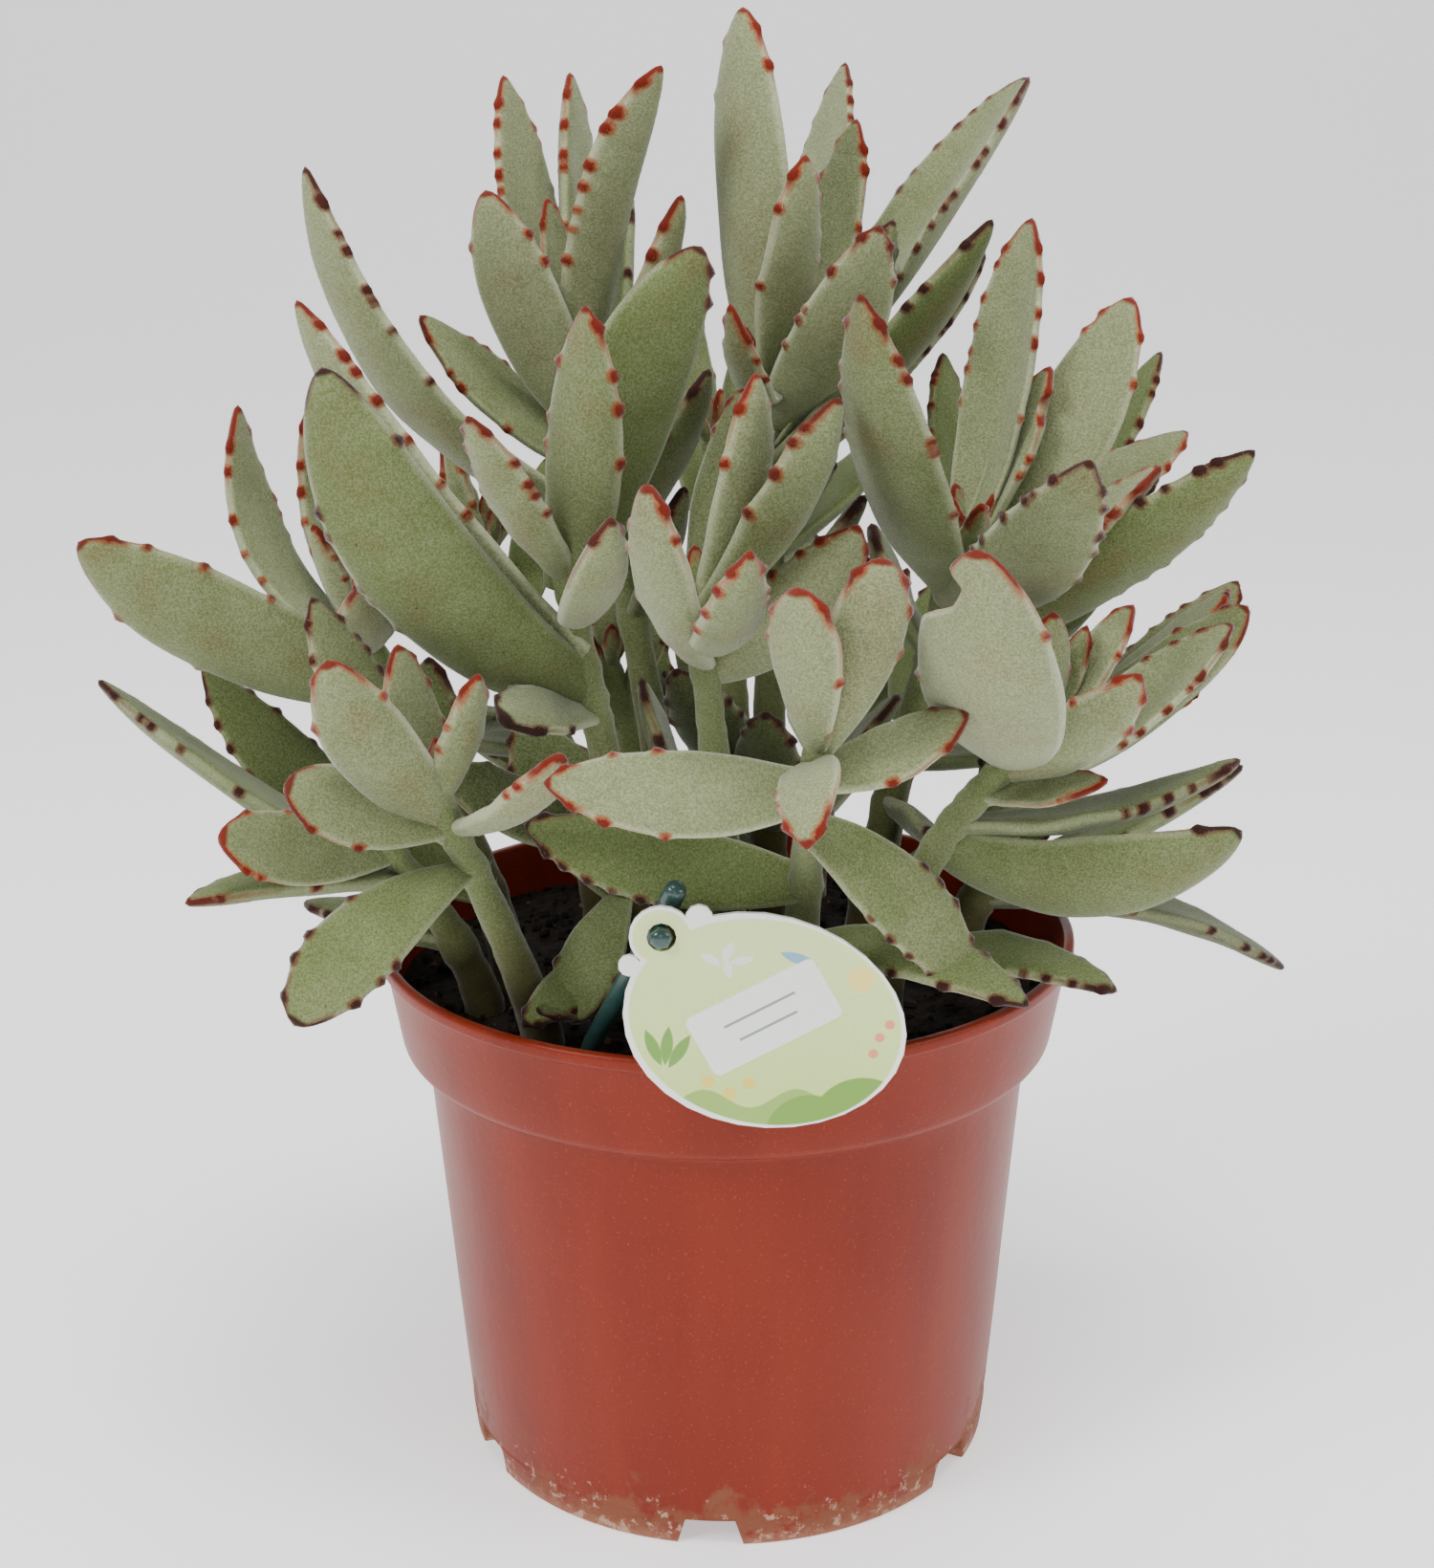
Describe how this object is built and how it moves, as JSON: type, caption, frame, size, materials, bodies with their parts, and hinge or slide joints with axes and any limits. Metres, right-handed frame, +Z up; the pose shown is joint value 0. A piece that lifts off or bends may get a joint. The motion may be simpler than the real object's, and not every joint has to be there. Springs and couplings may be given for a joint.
{
  "type": "potted panda plant",
  "caption": "Bushy felt-leaved succulent with toothed, rust-tipped leaves, standing in soil in a round nursery pot with a hanging plant tag.",
  "frame": {"origin": "on the ground, under the middle of the pot and of the whole plant's bounding box", "axes": "+Z up; -Y is the front, where the plant tag hangs on the rim; +X to the right seen from the front"},
  "size_m": [0.2182, 0.1837, 0.2647],
  "materials": {
    "pot_plastic": "satin terracotta-red moulded plastic",
    "peat": "dark crumbly peat",
    "leaf_felt": "grey-green felt of fine hairs with rust-brown teeth",
    "card": "satin printed card",
    "stake_plastic": "dark green glossy plastic"
  },
  "bodies": {
    "root": {"pot": "pot_plastic", "soil": "peat", "leafy_stem_a": "leaf_felt", "leafy_stem_b": "leaf_felt", "leafy_stem_c": "leaf_felt", "leafy_stem_d": "leaf_felt", "leafy_stem_e": "leaf_felt", "leafy_stem_f": "leaf_felt", "leafy_stem_g": "leaf_felt", "leafy_stem_h": "leaf_felt", "leafy_stem_i": "leaf_felt", "leafy_stem_j": "leaf_felt", "leafy_stem_k": "leaf_felt", "leafy_stem_l": "leaf_felt", "leafy_stem_m": "leaf_felt", "leafy_stem_n": "leaf_felt", "leafy_stem_o": "leaf_felt", "leafy_stem_p": "leaf_felt", "tag_card": "card", "tag_stake": "stake_plastic"}
  },
  "joints": []
}
